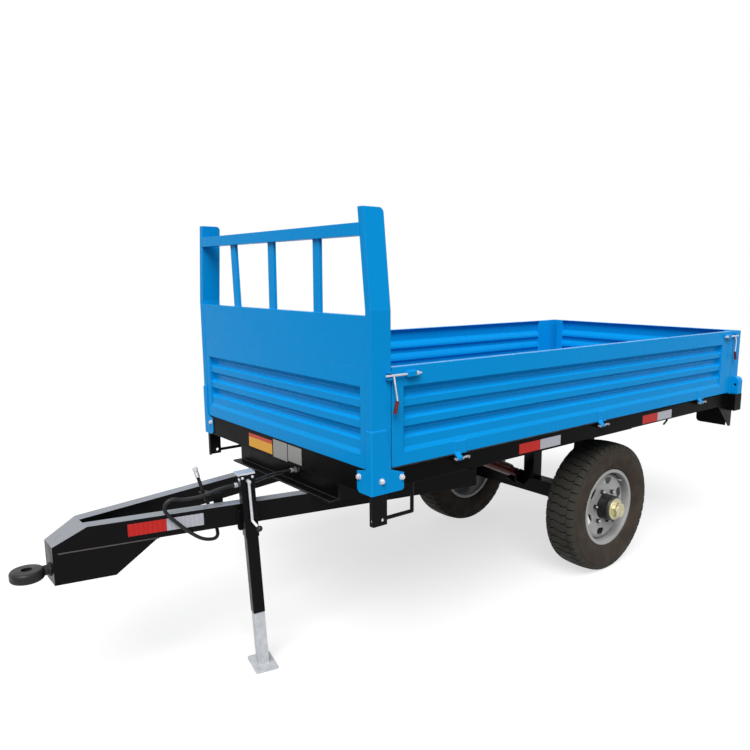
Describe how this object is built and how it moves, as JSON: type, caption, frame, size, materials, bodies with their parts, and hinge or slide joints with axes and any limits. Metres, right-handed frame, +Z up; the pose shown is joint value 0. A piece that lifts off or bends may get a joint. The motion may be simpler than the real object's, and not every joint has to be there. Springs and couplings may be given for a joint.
{
  "type": "two-wheeled tipping farm trailer",
  "caption": "Single-axle farm trailer with a blue drop-side tipping bed, slatted headboard, V drawbar with ring eye, hydraulic ram and a side jack.",
  "frame": {"origin": "ground under the middle of the trailer's length and width", "axes": "+X forward to the tow eye, +Y to the trailer's left, +Z up"},
  "size_m": [4.191, 1.6, 1.943],
  "materials": {
    "chassis_black": "gloss black paint",
    "blue_paint": "satin blue paint",
    "zinc": "galvanised",
    "bright_steel": "bright zinc",
    "ram_red": "dark red paint",
    "tyre_rubber": "matte black rubber",
    "rim_silver": "silver paint",
    "cap_yellow": "yellow zinc",
    "grip_red": "dark red grip",
    "black_plastic": "black",
    "hose_rubber": "matte black rubber",
    "floor_steel": "satin blue paint"
  },
  "bodies": {
    "chassis": {"drawbar": "chassis_black", "tow_eye": "chassis_black", "chassis_frame": "chassis_black", "chassis_front_cross": "chassis_black", "axle": "chassis_black", "axle_brackets": "chassis_black", "jack_tube": "chassis_black", "jack_cap": "bright_steel", "jack_mount": "chassis_black", "jack_crank": "bright_steel", "jack_knob": "black_plastic", "hose": "hose_rubber", "hose_coupling": "bright_steel", "hose_band": "chassis_black", "hose_fitting": "bright_steel", "hose_clip": "bright_steel", "hose_holder": "chassis_black"},
    "jack_leg": {"jack_leg": "zinc"},
    "wheel_left": {"tyre_left": "tyre_rubber", "rim_left": "rim_silver", "hub_left": "chassis_black", "hub_cap_left": "cap_yellow"},
    "wheel_right": {"tyre_right": "tyre_rubber", "rim_right": "rim_silver", "hub_right": "chassis_black", "hub_cap_right": "cap_yellow"},
    "ram_barrel": {"ram_barrel": "ram_red"},
    "ram_rod": {"ram_rod": "bright_steel"},
    "bed": {"bed_frame": "chassis_black", "bed_floor": "floor_steel", "bed_lugs": "chassis_black", "headboard_panel": "blue_paint", "headboard_lower": "blue_paint", "headboard_rack": "blue_paint", "headboard_posts": "blue_paint", "rear_posts": "blue_paint", "rear_ears": "blue_paint", "corner_brackets": "blue_paint", "hanging_plates": "chassis_black", "lamp_brackets": "chassis_black", "board_hinges": "bright_steel", "latch_cradles": "blue_paint"},
    "side_board_left": {"side_board_left": "blue_paint", "latches_left": "bright_steel", "latch_grips_left": "grip_red"},
    "side_board_right": {"side_board_right": "blue_paint", "latches_right": "bright_steel", "latch_grips_right": "grip_red"},
    "tailboard": {"tailboard": "blue_paint"}
  },
  "joints": [
    {"name": "wheel_left_spin", "type": "hinge", "parent": "chassis", "child": "wheel_left", "pos_m": [-0.8365, 0.565, 0.375], "axis": [0, 1, 0], "continuous": true},
    {"name": "wheel_right_spin", "type": "hinge", "parent": "chassis", "child": "wheel_right", "pos_m": [-0.8365, -0.565, 0.375], "axis": [0, 1, 0], "continuous": true},
    {"name": "jack_leg_slide", "type": "slide", "parent": "chassis", "child": "jack_leg", "axis": [0.0477, -0.0103, 0.9988], "range_m": [-0.12, 0.22]},
    {"name": "bed_tip", "type": "hinge", "parent": "chassis", "child": "bed", "pos_m": [-1.2915, 0, 0.784], "axis": [0, -1, 0], "range_deg": [0, 40]},
    {"name": "ram_pivot", "type": "hinge", "parent": "chassis", "child": "ram_barrel", "pos_m": [-0.7465, 0, 0.4655], "axis": [0, -1, 0], "range_deg": [0, 46.41]},
    {"name": "ram_stroke", "type": "slide", "parent": "ram_barrel", "child": "ram_rod", "axis": [0.9143, 0, 0.4051], "range_m": [0, 0.426]},
    {"name": "side_board_left_hinge", "type": "hinge", "parent": "bed", "child": "side_board_left", "pos_m": [-0.5415, 0.77, 0.92], "axis": [-1, 0, 0], "range_deg": [0, 180]},
    {"name": "side_board_right_hinge", "type": "hinge", "parent": "bed", "child": "side_board_right", "pos_m": [-0.5415, -0.77, 0.92], "axis": [1, 0, 0], "range_deg": [0, 180]},
    {"name": "tailboard_hinge", "type": "hinge", "parent": "bed", "child": "tailboard", "pos_m": [-2.0855, 0, 0.92], "axis": [0, -1, 0], "range_deg": [0, 180]}
  ],
  "couplings": [
    {"joint": "ram_pivot", "follows": "bed_tip", "ratio": 1.1353},
    {"joint": "ram_stroke", "follows": "bed_tip", "m_per_rad": 0.60309}
  ]
}
